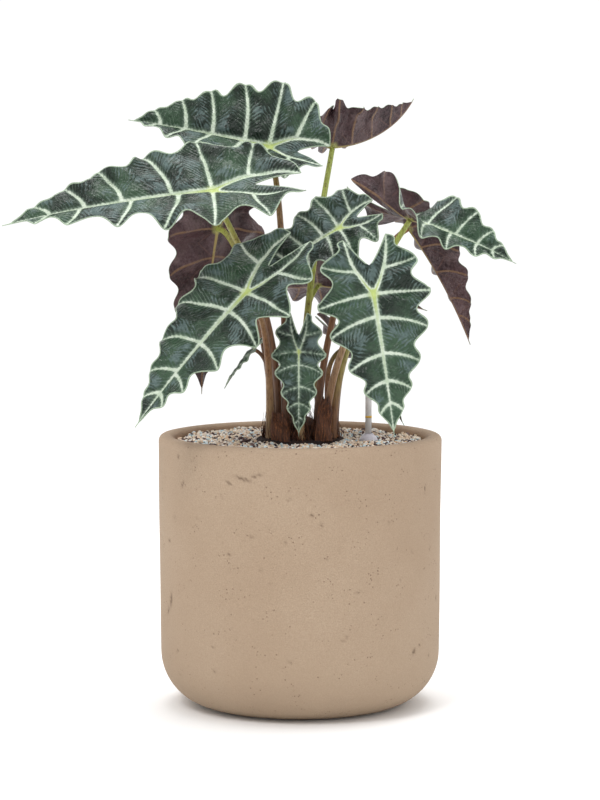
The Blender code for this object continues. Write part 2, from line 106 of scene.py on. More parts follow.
# Lengths are in mm and angles in degrees. Of the petiole: foot (bearing, distance from the crown), top
# (x, y, z), rise (how long the foot stays upright, as a share of the petiole's span), reach (how far back
# from the blade it bends) and, on small leaves, slim (its thickness against the others'). Of the blade:
# heading, pitch, roll, midrib, back lobes, half width, droop of the midrib, cup and fold of each half and,
# on some leaves, the droop of the back lobes, the twist towards the tip and the parting of the lobes.
LEAVES = (
    dict(name="long_left", foot=(180, INNER_RING), top=(-72, -60, 437), rise=0.5, reach=80,
         heading=188, pitch=-5, roll=-35, midrib=175, lobes=76, width=57, droop=10, cup=6, fold=14),
    dict(name="top_left", foot=(225, INNER_RING), top=(-27, 45, 472), rise=0.5, reach=40,
         heading=171, pitch=13, roll=-45, midrib=126, lobes=51, width=61, droop=6, cup=6, fold=30),
    dict(name="top_right", foot=(90, INNER_RING), top=(28, 95, 471), rise=0.4, reach=70,
         heading=15, pitch=4, roll=-30, midrib=98, lobes=40, width=48, droop=-55, cup=4, fold=30,
         lobe_droop=-230),
    dict(name="right", foot=(-20, OUTER_RING), top=(92, -16, 412), rise=0.4, reach=40,
         heading=-24, pitch=-13, roll=-10, midrib=102, lobes=66, width=40, droop=14, cup=4, fold=24,
         lobe_droop=-45, twist=60, parting=0.12),
    dict(name="right_drooping", foot=(5, OUTER_RING), top=(93, 58, 402), rise=0.4, reach=40,
         heading=35, pitch=-48, roll=0, midrib=125, lobes=42, width=40, droop=16, cup=10, fold=32),
    dict(name="centre", foot=(-45, INNER_RING), top=(33, -15, 405), rise=0.5, reach=40,
         heading=190, pitch=-28, roll=-46, midrib=84, lobes=37, width=39, droop=20, cup=6, fold=12),
    dict(name="left_front", foot=(200, OUTER_RING), top=(-44, -76, 354), rise=0.4, reach=40,
         heading=214, pitch=-40, roll=-24, midrib=148, lobes=70, width=50, droop=12, cup=8, fold=8),
    dict(name="right_front", foot=(-45, OUTER_RING), top=(60, -88, 354), rise=0.4, reach=40,
         heading=-55, pitch=-74, roll=30, midrib=118, lobes=48, width=46, droop=18, cup=14, fold=6,
         parting=0.38),
    dict(name="small_front", foot=(-90, OUTER_RING), top=(-1, -80, 306), rise=0.4, reach=30, slim=0.85,
         heading=-90, pitch=-75, roll=0, midrib=71, lobes=33, width=22, droop=34, cup=14, fold=6,
         parting=0.3),
    dict(name="back_left", foot=(148, OUTER_RING), top=(-71, 60, 402), rise=0.4, reach=40,
         heading=120, pitch=-70, roll=0, midrib=150, lobes=50, width=46, droop=16, cup=10, fold=9),
    dict(name="small_left", foot=(175, OUTER_RING), top=(-39, 4, 302), rise=0.4, reach=20, slim=0.7,
         heading=190, pitch=-45, roll=0, midrib=42, lobes=16, width=12, droop=14, cup=10, fold=8),
    dict(name="back", foot=(30, INNER_RING), top=(16, 95, 351), rise=0.4, reach=40, slim=0.8,
         heading=-14, pitch=-6, roll=-40, midrib=102, lobes=44, width=34, droop=14, cup=6, fold=8),
    dict(name="low_right", foot=(32, OUTER_RING), top=(40, 54, 300), rise=0.4, reach=25, slim=0.8,
         heading=-8, pitch=-46, roll=-20, midrib=85, lobes=38, width=30, droop=14, cup=6, fold=8),
)

# Skin colours of the petioles (linear RGB), and for each petiole its colours at foot, middle and top
BROWN = (0.17, 0.078, 0.034)
TAN = (0.44, 0.29, 0.15)
RUSSET = (0.27, 0.13, 0.055)
OLIVE = (0.26, 0.24, 0.07)
LIME = (0.38, 0.45, 0.09)
PETIOLE_SKINS = {
    "long_left": (BROWN, RUSSET, LIME),
    "top_left": (BROWN, RUSSET, OLIVE),
    "top_right": (RUSSET, LIME, LIME),
    "right": (RUSSET, LIME, LIME),
    "right_drooping": (BROWN, RUSSET, RUSSET),
    "centre": (BROWN, RUSSET, OLIVE),
    "left_front": (TAN, RUSSET, TAN),
    "right_front": (RUSSET, TAN, TAN),
    "small_front": (TAN, TAN, OLIVE),
    "back_left": (BROWN, RUSSET, LIME),
    "small_left": (BROWN, BROWN, RUSSET),
    "back": (RUSSET, OLIVE, LIME),
    "low_right": (BROWN, RUSSET, OLIVE),
}
VEIN_STRENGTH = {"small_front": 0.72, "centre": 0.85}  # how pale the veins are on the duller leaves


# ---- Looks: colours are linear RGB, and the scales of patterns are in cells to the metre


def put(tree, kind, inputs=None, **settings):
    """Adds a shader node. Settings are its own fields; inputs give a socket's name or number its value or
    another node's output."""
    made = tree.nodes.new("ShaderNode" + kind)
    for field, value in settings.items():
        setattr(made, field, value)
    for key, value in (inputs or {}).items():
        socket = made.inputs[key]
        if isinstance(value, bpy.types.NodeSocket):
            tree.links.new(value, socket)
        elif socket.type == "RGBA":
            socket.default_value = (*value, 1)
        else:
            socket.default_value = value
    return made


def new_look(name, roughness, **fixed):
    """A material, its node tree and the object's own coordinates."""
    look = bpy.data.materials.new(name)
    look.use_nodes = True
    tree = look.node_tree
    shader = tree.nodes["Principled BSDF"]
    shader.inputs["Roughness"].default_value = roughness
    for key, value in fixed.items():
        shader.inputs[key.replace("_", " ")].default_value = value
    return look, tree, put(tree, "TexCoord").outputs["Object"]


def noise(tree, where, scale, detail=3, rough=0.6):
    """Cloudy noise from 0 to 1, with its cells about 1 / scale metres wide."""
    inputs = {"Vector": where, "Scale": scale, "Detail": detail, "Roughness": rough}
    return put(tree, "TexNoise", inputs).outputs["Fac"]


def cells(tree, where, scale, feature="F1"):
    """Distance to the nearest cell's point or edge, in shares of a cell."""
    return put(tree, "TexVoronoi", {"Vector": where, "Scale": scale}, feature=feature).outputs["Distance"]


def figure(tree, operation, first, second=0.0):
    """Arithmetic on one value or two."""
    return put(tree, "Math", {0: first, 1: second}, operation=operation).outputs[0]


def times(tree, first, second):
    """The product of two values."""
    return figure(tree, "MULTIPLY", first, second)


def plus(tree, first, second):
    """The sum of two values."""
    return figure(tree, "ADD", first, second)


def fade(tree, value, low, high, start=0.0, end=1.0):
    """Start below low, end above high, and a smooth step between."""
    inputs = {"Value": value, "From Min": low, "From Max": high, "To Min": start, "To Max": end}
    return put(tree, "MapRange", inputs, interpolation_type="SMOOTHSTEP").outputs["Result"]


def blend(tree, share, first, second, kind="MIX"):
    """The first colour where share is 0, the second where it is 1."""
    made = put(tree, "Mix", {0: share, 6: first, 7: second}, data_type="RGBA", blend_type=kind)
    return made.outputs[2]


def stretched(tree, where, scale):
    """Coordinates stretched by a scale along each axis."""
    return put(tree, "Mapping", {"Vector": where, "Scale": scale}).outputs["Vector"]


def reading(tree, name, output="Fac"):
    """A value stored on the surface's points."""
    return put(tree, "Attribute", attribute_name=name).outputs[output]


def finished(look, colour, height, depth, strength=1.0, roughness=None):
    """The material with this colour, a bump of this height, in shares of depth, in metres, and, where it
    isn't the same all over, this roughness."""
    tree = look.node_tree
    shader = tree.nodes["Principled BSDF"]
    tree.links.new(colour, shader.inputs["Base Color"])
    if roughness is not None:
        tree.links.new(roughness, shader.inputs["Roughness"])
    bump = put(tree, "Bump", {"Height": height, "Distance": depth, "Strength": strength})
    tree.links.new(bump.outputs["Normal"], shader.inputs["Normal"])
    return look


def leaf_upper_look():
    """Satin dark green lamina whose green varies in clouds, partly its own tone and partly painted shade,
    with a painted blue-grey sheen on the swells between the veins, mint bands along the veins that run out
    in uneven teeth, yellow-green ribs and a pale margin."""
    look, tree, where = new_look("leaf_upper", 0.34, Specular_IOR_Level=0.32)
    depth = noise(tree, where, 26, 4)
    sheen_cloud = noise(tree, where, 44, 5, 0.62)
    warp = noise(tree, where, 60, 3)
    # Painted shade: the green is mixed in clouds towards near black, partly the lamina's own tone and partly
    # the shade of its relief.
    green = blend(tree, fade(tree, depth, 0.4, 0.64), (0.004, 0.012, 0.006), (0.04, 0.082, 0.044))
    dome = fade(tree, reading(tree, "gap"), 1.5, 6)
    apart = fade(tree, reading(tree, "minor"), 0.3, 2.6)
    run = plus(tree, reading(tree, "run"), times(tree, warp, 11))
    comb = times(tree, figure(tree, "SINE", times(tree, run, 1.75)), apart)
    streaky = plus(tree, sheen_cloud, times(tree, comb, 0.05))
    # Painted sheen: a streaky blue-grey reflection in clouds, laid on the swells between the veins.
    painted_sheen = times(tree, fade(tree, streaky, 0.5, 0.6), times(tree, dome, 0.85))
    green = blend(tree, painted_sheen, green, (0.105, 0.155, 0.15))
    mottle = noise(tree, where, 280, 4)
    green = blend(tree, fade(tree, mottle, 0.3, 0.75, 0, 0.45), green, (0.01, 0.024, 0.015))
    patch = fade(tree, noise(tree, where, 48), 0.46, 0.66, 0, 0.24)
    hair = times(tree, fade(tree, comb, 0.62, 0.99), patch)
    green = blend(tree, hair, green, (0.26, 0.35, 0.26))
    jag = times(tree, figure(tree, "SUBTRACT", noise(tree, where, 170, 5, 0.7), 0.5), 4.6)
    ragged = plus(tree, jag, times(tree, comb, 0.35))
    feather = fade(tree, plus(tree, reading(tree, "vein"), ragged), -1.8, 1.0, 0, 0.45)
    green = blend(tree, feather, green, (0.25, 0.34, 0.26))
    band = fade(tree, plus(tree, reading(tree, "vein"), times(tree, ragged, 0.45)), -0.1, 1.0)
    band = times(tree, band, reading(tree, "pallor"))
    pale = blend(tree, fade(tree, noise(tree, where, 120), 0.35, 0.65), (0.44, 0.53, 0.4), (0.6, 0.67, 0.56))
    colour = blend(tree, band, green, pale)
    rib = fade(tree, reading(tree, "rib"), -0.1, 0.7)
    glow = reading(tree, "glow")
    ribbed = times(tree, rib, fade(tree, glow, 0.0, 0.75, 0.3, 0.85))
    tint = blend(tree, glow, (0.42, 0.52, 0.26), (0.4, 0.49, 0.13))
    colour = blend(tree, ribbed, colour, tint)
    colour = blend(tree, fade(tree, glow, 0.78, 0.99, 0, 0.7), colour, (0.45, 0.54, 0.16))
    rimmed = fade(tree, plus(tree, reading(tree, "edge"), times(tree, jag, 0.12)), 0.5, 1.3, 0.75, 0)
    colour = blend(tree, rimmed, colour, (0.4, 0.5, 0.36))
    raised = plus(tree, noise(tree, where, 75, 3), times(tree, comb, -0.03))
    return finished(look, colour, raised, 5 * MM, 0.9, fade(tree, sheen_cloud, 0.3, 0.7, 0.26, 0.42))


def leaf_under_look():
    """Purple-brown underside with a soft painted sheen, thin tan ribs and fine reddish lines midway between
    them.
    """
    look, tree, where = new_look("leaf_under", 0.42, Specular_IOR_Level=0.35)
    depth = noise(tree, where, 30, 4)
    purple = blend(tree, fade(tree, depth, 0.34, 0.68), (0.024, 0.011, 0.013), (0.085, 0.044, 0.048))
    fibre = noise(tree, where, 420, 3)
    purple = blend(tree, fade(tree, fibre, 0.35, 0.7, 0, 0.5), purple, (0.12, 0.075, 0.08))
    minor = fade(tree, reading(tree, "minor"), 0.4, 1.2, 0.4, 0)
    purple = blend(tree, minor, purple, (0.16, 0.085, 0.07))
    rib = fade(tree, reading(tree, "gap"), 0.5, 1.15, 0.75, 0)
    purple = blend(tree, rib, purple, (0.24, 0.14, 0.075))
    rib = fade(tree, reading(tree, "rib"), 0.2, 1.0, 0, 0.8)
    purple = blend(tree, rib, purple, (0.42, 0.33, 0.12))
    purple = blend(tree, fade(tree, reading(tree, "glow"), 0.75, 0.97, 0, 0.8), purple, (0.4, 0.42, 0.12))
    # Painted sheen: lighter mauve in clouds, as a soft reflection of the light.
    sheen = fade(tree, noise(tree, where, 46, 4), 0.5, 0.66, 0, 0.5)
    purple = blend(tree, sheen, purple, (0.17, 0.115, 0.115))
    return finished(look, purple, noise(tree, where, 64, 4), 6 * MM, 0.9)


def petiole_look():
    """Smooth stalk skin in the colours stored on its points, with long streaks and reddish specks."""
    look, tree, where = new_look("petiole_skin", 0.42)
    skin = reading(tree, "skin", "Color")
    streak = noise(tree, stretched(tree, where, (1, 1, 0.12)), 620, 3)
    colour = blend(tree, fade(tree, streak, 0.35, 0.7, 0, 0.7), skin,
                   blend(tree, 1.0, skin, (0.42, 0.34, 0.3), "MULTIPLY"))
    speck = cells(tree, stretched(tree, where, (1, 1, 0.45)), 520)
    specked = times(tree, fade(tree, speck, 0.18, 0.34, 0.7, 0), fade(tree, streak, 0.45, 0.6))
    colour = blend(tree, specked, colour, (0.1, 0.03, 0.015))
    return finished(look, colour, streak, 0.4 * MM, 0.7)


def stone_look():
    """Sand-coloured cast cement: fine grain, pinholes, faint clouds, pits of wear painted dark brown as the
    shade in them, and a browner inner wall, darkened further by painted shade.
    """
    look, tree, where = new_look("cast_stone", 0.82, Specular_IOR_Level=0.25)
    cloud = noise(tree, where, 9, 5, 0.55)
    grain = noise(tree, where, 900, 4, 0.75)
    sand = blend(tree, fade(tree, cloud, 0.3, 0.7), (0.39, 0.287, 0.2), (0.435, 0.33, 0.236))
    sand = blend(tree, fade(tree, grain, 0.3, 0.7, 0, 0.6), sand, (0.3, 0.212, 0.143))
    low = put(tree, "SeparateXYZ", {0: where}).outputs["Z"]
    sand = blend(tree, fade(tree, low, 0.0, 0.12, 0.4, 0), sand, (0.36, 0.27, 0.188))
    hole = cells(tree, where, 330)
    rare = fade(tree, noise(tree, where, 60), 0.52, 0.62)
    pin = times(tree, fade(tree, hole, 0.12, 0.26, 0.75, 0), rare)
    sand = blend(tree, pin, sand, (0.17, 0.105, 0.065))
    # Inner wall: a browner tone of the cement, darkened by painted shade.
    sand = blend(tree, reading(tree, "inside"), sand, (0.31, 0.178, 0.095))
    # Pits of wear: painted shade, dark brown, as deep as the pits are.
    sand = blend(tree, times(tree, reading(tree, "wear_and_shade"), 0.8), sand, (0.12, 0.076, 0.048))
    return finished(look, sand, plus(tree, grain, times(tree, pin, -1.2)), 0.6 * MM, 0.7)


def grain_look(name, roughness, dark):
    """Porous mineral grains in the colours stored on their points, with dark pores."""
    look, tree, where = new_look(name, roughness)
    tone = reading(tree, "tone", "Color")
    pore = noise(tree, where, 1500, 3)
    colour = blend(tree, fade(tree, pore, 0.45, 0.7, 0, dark), tone,
                   blend(tree, 1.0, tone, (0.45, 0.38, 0.33), "MULTIPLY"))
    return finished(look, colour, pore, 0.7 * MM, 0.9)


def bed_look():
    """The shaded grains under the top layer: small cells in cream, brown and grey."""
    look, tree, where = new_look("granulate_bed", 0.9)
    cell = put(tree, "TexVoronoi", {"Vector": where, "Scale": 330})
    tone = put(tree, "SeparateColor", {0: cell.outputs["Color"]}).outputs[0]
    # Painted shade: the cells keep darker tones than the loose grains, for the shade under the top layer,
    # and go near black towards their edges, for the shade between grains.
    colour = blend(tree, fade(tree, tone, 0.35, 0.6), (0.09, 0.05, 0.035), (0.42, 0.34, 0.25))
    colour = blend(tree, fade(tree, cell.outputs["Distance"], 0.25, 0.6), colour, (0.03, 0.018, 0.012))
    return finished(look, colour, cell.outputs["Distance"], -1.5 * MM)


def peat_look():
    """Dark crumbly peat."""
    look, tree, where = new_look("peat", 0.95)
    crumb = noise(tree, where, 520, 5, 0.7)
    colour = blend(tree, fade(tree, crumb, 0.4, 0.7), (0.012, 0.006, 0.005), (0.06, 0.028, 0.018))
    return finished(look, colour, crumb, 3 * MM)


def fibre_look(name, dark, light, glint):
    """Dry fibres that run up the piece: dark and light strands with a few bright ones."""
    look, tree, where = new_look(name, 0.65)
    strand = noise(tree, stretched(tree, where, (1, 1, 0.1)), 900, 4, 0.7)
    cross = noise(tree, stretched(tree, where, (0.3, 0.3, 1)), 800, 3)
    colour = blend(tree, fade(tree, strand, 0.36, 0.66), dark, light)
    bright = times(tree, fade(tree, strand, 0.56, 0.7), fade(tree, cross, 0.45, 0.6))
    colour = blend(tree, bright, colour, glint)
    return finished(look, colour, plus(tree, strand, times(tree, cross, 0.5)), 1.2 * MM)


def plastic_look(name, dark, light, roughness, **fixed):
    """Moulded plastic: a faint cloudiness, and fine scuffs in its gloss."""
    look, tree, where = new_look(name, roughness, **fixed)
    cloud = noise(tree, where, 160, 3)
    colour = blend(tree, fade(tree, cloud, 0.3, 0.7), dark, light)
    scuff = noise(tree, where, 1200, 3)
    gloss = fade(tree, scuff, 0.3, 0.7, roughness * 0.8, roughness * 1.2)
    return finished(look, colour, cloud, 0.2 * MM, 0.4, gloss)


# ---- Meshes


def piece(name, points, faces, looks, nodes=(), readings=None, colours=None, flat=None):
    """A mesh object from its points and faces that rides on the frame and stands for the CAD nodes. Readings
    are values and colours are tones stored on the points; flat is the points' place on the flat pattern."""
    mesh = bpy.data.meshes.new(name)
    mesh.from_pydata(points.reshape(-1, 3), [], faces)
    mesh.shade_smooth()
    for key, value in (readings or {}).items():
        mesh.attributes.new(key, "FLOAT", "POINT").data.foreach_set("value", np.float32(value).ravel())
    for key, value in (colours or {}).items():
        tone = np.concatenate((value.reshape(-1, 3), np.ones((value.size // 3, 1))), axis=1)
        mesh.attributes.new(key, "FLOAT_COLOR", "POINT").data.foreach_set("color", np.float32(tone).ravel())
    if flat is not None:
        corner = np.empty(len(mesh.loops), dtype=np.int32)
        mesh.loops.foreach_get("vertex_index", corner)
        mesh.uv_layers.new(name="flat").data.foreach_set("uv", np.float32(flat[corner]).ravel())
    for look in looks:
        mesh.materials.append(look)
    made = bpy.data.objects.new(name, mesh)
    bpy.context.scene.collection.objects.link(made)
    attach(made, "root")
    if nodes:
        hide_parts(*nodes)
    return made


def walled(made, thickness, under=0):
    """Gives an open surface its thickness, half to each side; under is the look number of the far side."""
    wall = made.modifiers.new("thickness", "SOLIDIFY")
    wall.thickness = thickness
    wall.offset = 0
    wall.material_offset = under


def grid_faces(rows, columns, around=False):
    """Quads of a grid of points numbered row by row, closed round the columns if asked."""
    row = np.arange(rows - 1)[:, None]
    column = np.arange(columns if around else columns - 1)[None, :]
    after = (column + 1) % columns
    corners = (row * columns + column, (row + 1) * columns + column,
               (row + 1) * columns + after, row * columns + after)
    return np.stack(corners, axis=-1).reshape(-1, 4)


def turned_points(profile, segments, place=(0, 0, 0)):
    """A profile of (radius, height), down its outer side, carried round the vertical: the point at each
    angle is (radius cos, radius sin, height)."""
    angle = np.linspace(0, 2 * np.pi, segments, endpoint=False)[None, :]
    radius, height = profile[:, :1], profile[:, 1:]
    points = np.stack((radius * np.cos(angle), radius * np.sin(angle), height + 0 * angle), axis=-1)
    return points + np.asarray(place)


def closed_faces(rows, columns, upward=False):
    """The faces of a closed-round grid with a flat face over its first row and its last. They point outwards
    when the rows run down the outer side, or up it if upward."""
    first = list(range(columns))
    last = [(rows - 1) * columns + step for step in range(columns)][::-1]
    faces = grid_faces(rows, columns, True).tolist() + [first, last]
    return [face[::-1] for face in faces] if upward else faces


def turned_piece(name, profile, segments, look, nodes=(), place=(0, 0, 0)):
    """A turned piece whose profile starts and ends next to its axis."""
    points = turned_points(profile, segments, place)
    return piece(name, points, closed_faces(len(profile), segments), (look,), nodes)


def arc_points(centre, radius, start, end, steps):
    """Points of an arc in the profile plane, from one angle to another in degrees."""
    angle = np.radians(np.linspace(start, end, steps + 1))
    return np.stack((centre[0] + radius * np.cos(angle), centre[1] + radius * np.sin(angle)), axis=-1)


def resampled(profile, step):
    """The same line with a point about every step, measured along it."""
    run = np.concatenate(([0], np.cumsum(np.linalg.norm(np.diff(profile, axis=0), axis=1))))
    at = np.linspace(0, run[-1], max(2, int(run[-1] / step)) + 1)
    return np.stack((np.interp(at, run, profile[:, 0]), np.interp(at, run, profile[:, 1])), axis=-1)


# ---- Planter

# Worn places on the outer wall: bearing in degrees, height, length, width, tilt in degrees, depth; in mm
WORN = (
    (-113, 205, 9, 1.6, -14, 0.9), (-107, 208, 7, 1.3, 20, 0.8), (-119, 201, 5, 1.1, -30, 0.6),
    (-144, 196, 4, 1.6, 60, 0.7), (-147, 218, 3, 1.2, 40, 0.6), (-85.5, 176, 2.4, 1.2, 10, 0.8),
    (-30, 190, 5, 1.3, 75, 0.7), (-52, 168, 3, 1.0, 30, 0.6), (-119, 142, 3, 1.1, -20, 0.6),
    (-156, 146, 3, 1.2, 35, 0.6), (-155, 96, 8, 2.4, 78, 0.9), (-158, 86, 5, 1.6, 60, 0.7),
    (-37, 56, 4, 2.2, 40, 1.0), (-33, 60, 2, 1.2, 0, 0.7), (-94, 56, 3, 1.1, 15, 0.6),
    (-73, 73, 3, 1.0, -25, 0.5), (-66, 112, 5, 0.8, 12, 0.4), (-101, 120, 4, 0.8, -10, 0.4),
    (-127, 64, 3, 0.9, 20, 0.5), (-46, 118, 3, 0.9, 50, 0.5), (-25, 140, 3, 1.2, 80, 0.6),
    (-135, 170, 3, 0.9, 5, 0.4), (-60, 206, 4, 0.8, -6, 0.4), (-80, 140, 2, 0.9, 40, 0.4),
)
WORN_LENGTH = 0.55  # of the lengths above, which makes the marks as short as small chips in a casting
WORN_WIDTH = 0.5  # of the widths above
EXTRA_PITS = 34  # more small pits, anywhere round the wall


def pot_profile():
    """The planter's outline from its floor's centre inside, up and over the rim, to its foot's centre."""
    inner = POT_RADIUS - POT_WALL
    bend = POT_FOOT_ROUND - POT_WALL
    low = POT_RADIUS - POT_TAPER
    edge = POT_HEIGHT - POT_RIM_ROUND
    inside = np.concatenate((
        [(AXIS_GAP, POT_FLOOR)],
        arc_points((inner - POT_TAPER - bend, POT_FLOOR + bend), bend, -90, 0, 12),
        arc_points((inner + POT_RIM_ROUND, edge), POT_RIM_ROUND, 180, 90, 8),
    ))
    outside = np.concatenate((
        arc_points((POT_RADIUS - POT_RIM_ROUND, edge), POT_RIM_ROUND, 90, 0, 8),
        arc_points((low - POT_FOOT_ROUND, POT_FOOT_ROUND), POT_FOOT_ROUND, 0, -90, 24),
        [(AXIS_GAP, 0)],
    ))
    return resampled(inside, INSIDE_STEP), resampled(outside, POT_STEP)


def add_planter(look):
    """The turned outline, with each place of wear pressed in by depth times exp(-d^0.8), where d is
    (u / length)^2 + (v / width)^2 of the distances u along it and v across it, and v wavers a little. The
    wall also has low waves that run round it and up it, of 0.12 and 0.1 mm. The pits' depth is stored for
    the painted shade in them, and the inner wall for its browner tone and painted shade."""
    chance = np.random.default_rng(3)
    inside, outside = pot_profile()
    profile = np.concatenate((inside, outside))
    points = turned_points(profile, POT_SEGMENTS)
    wall = np.arange(len(profile)) >= len(inside)
    bearing = np.linspace(0, 2 * np.pi, POT_SEGMENTS, endpoint=False)[None, :]
    height = profile[:, 1:]
    sunk = np.zeros(points.shape[:2])
    extra = np.stack((
        chance.uniform(0, 360, EXTRA_PITS), chance.uniform(14, 220, EXTRA_PITS),
        chance.uniform(0.7, 2.0, EXTRA_PITS), chance.uniform(0.5, 0.8, EXTRA_PITS),
        chance.uniform(-90, 90, EXTRA_PITS), chance.uniform(0.3, 0.7, EXTRA_PITS),
    ), axis=-1)
    wear_and_shade = np.array(WORN) * (1, 1, WORN_LENGTH, WORN_WIDTH, 1, 1)
    for turn, level, long, wide, tilt, depth in (*wear_and_shade, *extra):
        away = (bearing - math.radians(turn) + np.pi) % (2 * np.pi) - np.pi
        along, up = away * POT_RADIUS / MM, height / MM - level
        tilt = math.radians(tilt)
        u = along * math.cos(tilt) + up * math.sin(tilt)
        v = up * math.cos(tilt) - along * math.sin(tilt) + 0.5 * np.sin(u * 1.7 + turn)
        sunk = np.maximum(sunk, depth * np.exp(-((u / long) ** 2 + (v / wide) ** 2) ** 0.8))
    sunk = sunk * wall[:, None]
    ripple = 0.12 * np.sin(7 * bearing + 31 * height) + 0.1 * np.sin(-11 * bearing + 54 * height + 2)
    outward = np.stack((np.cos(bearing), np.sin(bearing), 0 * bearing), axis=-1)
    fullness = (profile[:, :1] / POT_RADIUS) ** 4 * wall[:, None]
    points = points + outward * ((ripple * fullness - sunk) * MM)[..., None]
    # The inner wall below the rim: browner, and darkened by painted shade.
    inner_shade_and_tint = np.clip((POT_HEIGHT - 1.5 * MM - height) / (3 * MM), 0, 1) * ~wall[:, None]
    piece("planter_cast", points, closed_faces(*points.shape[:2]), (look,), ("planter",),
          dict(wear_and_shade=np.clip(sunk / 0.45, 0, 1), inside=inner_shade_and_tint + 0 * bearing))


# ---- Granulate and peat


def spun(count, chance):
    """Random rotation matrices, from unit quaternions."""
    quaternions = chance.normal(size=(4, count))
    w, x, y, z = quaternions / np.linalg.norm(quaternions, axis=0)
    return np.stack((
        1 - 2 * (y * y + z * z), 2 * (x * y - z * w), 2 * (x * z + y * w),
        2 * (x * y + z * w), 1 - 2 * (x * x + z * z), 2 * (y * z - x * w),
        2 * (x * z - y * w), 2 * (y * z + x * w), 1 - 2 * (x * x + y * y),
    ), axis=-1).reshape(count, 3, 3)


def stone_shape():
    """The 12 corners and 20 faces of a regular icosahedron of radius 1: two poles and two rings of five."""
    level = 1 / math.sqrt(5)
    ring = 2 * level
    upper = np.arange(5) * 2 * np.pi / 5
    lower = upper + np.pi / 5
    corners = np.concatenate((
        [(0, 0, 1)], np.stack((ring * np.cos(upper), ring * np.sin(upper), np.full(5, level)), -1),
        np.stack((ring * np.cos(lower), ring * np.sin(lower), np.full(5, -level)), -1), [(0, 0, -1)],
    ))
    faces = []
    for step in range(5):
        after = (step + 1) % 5
        faces += [(0, 1 + step, 1 + after), (1 + step, 6 + step, 1 + after),
                  (1 + after, 6 + step, 6 + after), (11, 6 + after, 6 + step)]
    return corners, np.array(faces)


def scatter(name, places, sizes, tones, look, chance, roundness=0.75):
    """Small stones at these places: an icosahedron each, stretched, its corners moved in and out at random,
    turned at random and scaled to its size."""
    corners, faces = stone_shape()
    count = len(places)
    shape = corners * chance.uniform(roundness, 1, (count, 12, 1)) * chance.uniform(0.75, 1.1, (count, 1, 3))
    shape = np.einsum("nij,nvj->nvi", spun(count, chance), shape) * sizes[:, None, None] / 2
    points = places[:, None, :] + shape
    faces = (faces[None] + 12 * np.arange(count)[:, None, None]).reshape(-1, 3)
    tones = np.repeat(tones[:, None, :], 12, axis=1)
    piece(name, points, faces, (look,), colours=dict(tone=tones))


def bed_places(chance, spacing, inner, outer):
    """A triangular lattice over a ring, with each point moved by up to a third of the spacing, and with no
    point at the gauge."""
    reach = int(outer / spacing) + 2
    row, column = np.mgrid[-reach:reach + 1, -reach:reach + 1]
    x = (column + 0.5 * (row % 2)) * spacing
    y = row * spacing * math.sqrt(0.75)
    flat = np.stack((x.ravel(), y.ravel()), -1) + chance.uniform(-spacing / 3, spacing / 3, (x.size, 2))
    radius = np.linalg.norm(flat, axis=1)
    clear = np.linalg.norm(flat - GAUGE[:2], axis=1) > GAUGE_CLEARANCE
    return flat[(radius > inner) & (radius < outer) & clear]


# Loose grains: piece, the draws from 0 to 1 that choose it, its tones and how dark its pores are
GRAINS = (
    ("granulate_pumice", 0, 0.62, ((0.84, 0.73, 0.56), (0.92, 0.88, 0.82), (0.74, 0.52, 0.34)), 0.25),
    ("granulate_zeolite", 0.62, 0.77, ((0.5, 0.66, 0.7), (0.78, 0.88, 0.9)), 0.25),
    ("granulate_lava", 0.77, 1, ((0.085, 0.045, 0.045), (0.2, 0.12, 0.1), (0.045, 0.03, 0.035)), 0.6),
)


def add_granulate(bed):
    """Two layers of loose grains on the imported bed: pale pumice, bluish zeolite and dark lava. Their level
    swells gently by sines of x and y, and rises by 0.8 mm at the planter's wall. A grain's tone is a mean
    of its kind's tones with cubed random weights."""
    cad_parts["granulate"].data.materials.clear()
    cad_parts["granulate"].data.materials.append(bed)
    chance = np.random.default_rng(11)
    flat = np.concatenate((
        bed_places(chance, LOWER_SPACING, PEAT_RADIUS - 2 * MM, LOWER_REACH),
        bed_places(chance, UPPER_SPACING, PEAT_RADIUS, UPPER_REACH),
    ))
    upper = np.arange(len(flat)) >= len(flat) * UPPER_START
    radius = np.linalg.norm(flat, axis=1)
    swell = 0.8 * np.sin(flat[:, 0] * 95) * np.sin(flat[:, 1] * 80) + 0.5 * np.sin(flat[:, 0] * 210 + 1)
    level = GRANULATE_TOP + (swell + chance.uniform(-0.5, 0.8, len(flat)) + np.where(upper, 2.2, 0.4)) * MM
    level = level + np.clip((radius - 98 * MM) / (8 * MM), 0, 1) * 0.8 * MM
    sizes = chance.uniform(2.7, 4.7, len(flat)) * MM
    sizes = np.where(chance.random(len(flat)) < 0.12, sizes * 1.3, sizes)
    places = np.concatenate((flat, level[:, None]), axis=1)
    kind = chance.random(len(flat))
    for name, start, end, palette, dark in GRAINS:
        chosen = (kind >= start) & (kind < end)
        share = chance.random((int(chosen.sum()), len(palette))) ** 3
        tones = share @ np.array(palette) / share.sum(axis=1, keepdims=True)
        scatter(name, places[chosen], sizes[chosen], tones, grain_look(name, 0.85, dark),
                chance)


